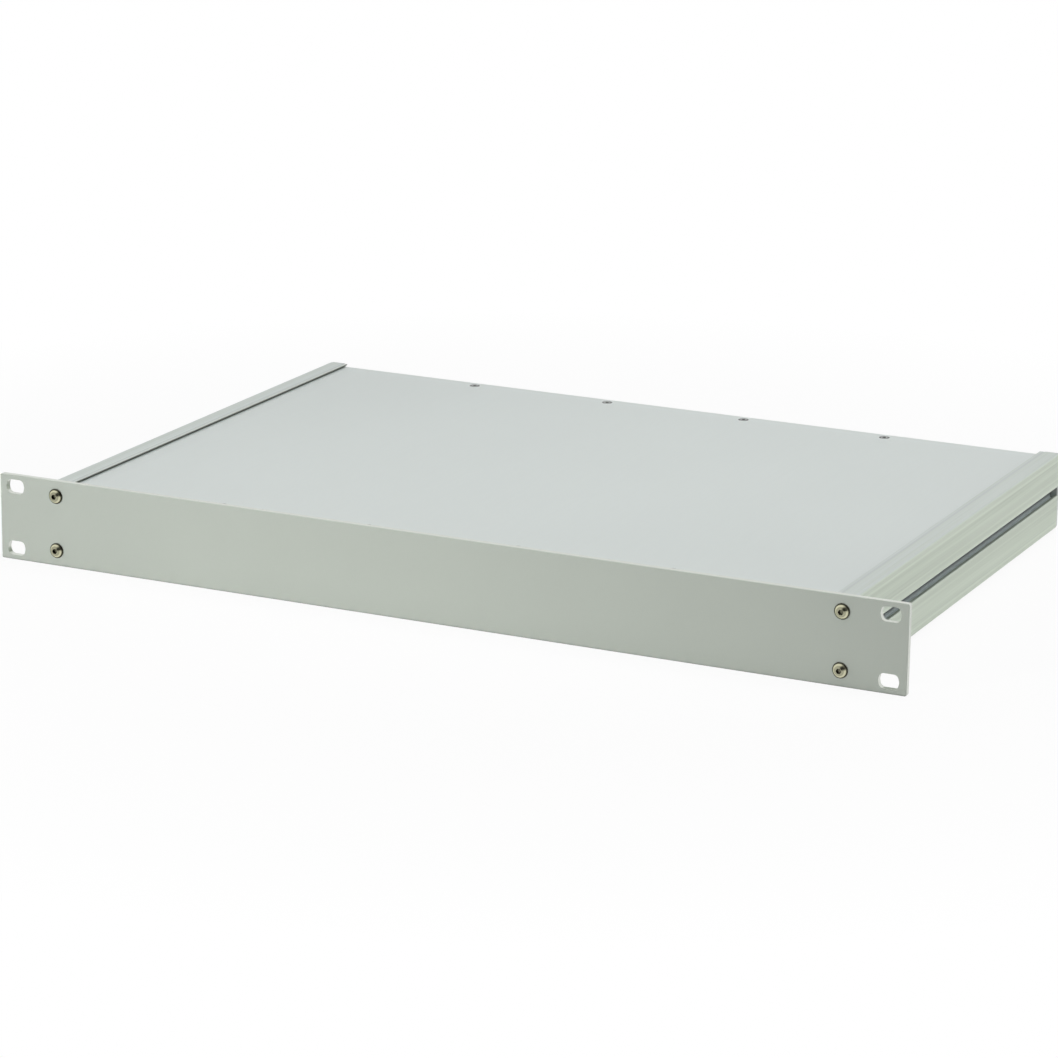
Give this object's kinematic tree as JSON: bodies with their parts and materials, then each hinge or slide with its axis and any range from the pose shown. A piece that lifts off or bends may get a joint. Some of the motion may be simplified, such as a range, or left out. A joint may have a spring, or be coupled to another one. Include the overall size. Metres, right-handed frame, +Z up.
{
  "type": "rack mount chassis",
  "caption": "Low rack mount chassis with a blank slotted front panel, extruded grooved side profiles and flat screwed covers, for housing circuit boards in a rack.",
  "frame": {"origin": "middle of the rack slot pattern, on the back face of the front panel, which is the face that meets the rack", "axes": "+X to the right seen from the front, +Y from the front panel to the back, +Z up"},
  "size_m": [0.4826, 0.302, 0.0436],
  "materials": {
    "panel_aluminium": "fine matt anodised plate",
    "profile_aluminium": "satin anodised extrusion with lines along its length",
    "cover_aluminium": "matt anodised sheet",
    "sheet_aluminium": "matt anodised folded sheet",
    "screw_steel": "nickel-plated steel",
    "nut_steel": "zinc-plated steel"
  },
  "bodies": {
    "root": {"front_panel": "panel_aluminium", "front_panel_screws": "screw_steel", "front_frame": "sheet_aluminium", "front_frame_nuts": "nut_steel", "left_side_profile": "profile_aluminium", "right_side_profile": "profile_aluminium", "top_cover": "cover_aluminium", "top_cover_screws": "screw_steel", "bottom_cover": "cover_aluminium", "bottom_cover_screws": "screw_steel", "rear_panel": "sheet_aluminium", "rear_panel_nuts": "nut_steel", "rear_panel_screws": "screw_steel"}
  },
  "joints": []
}
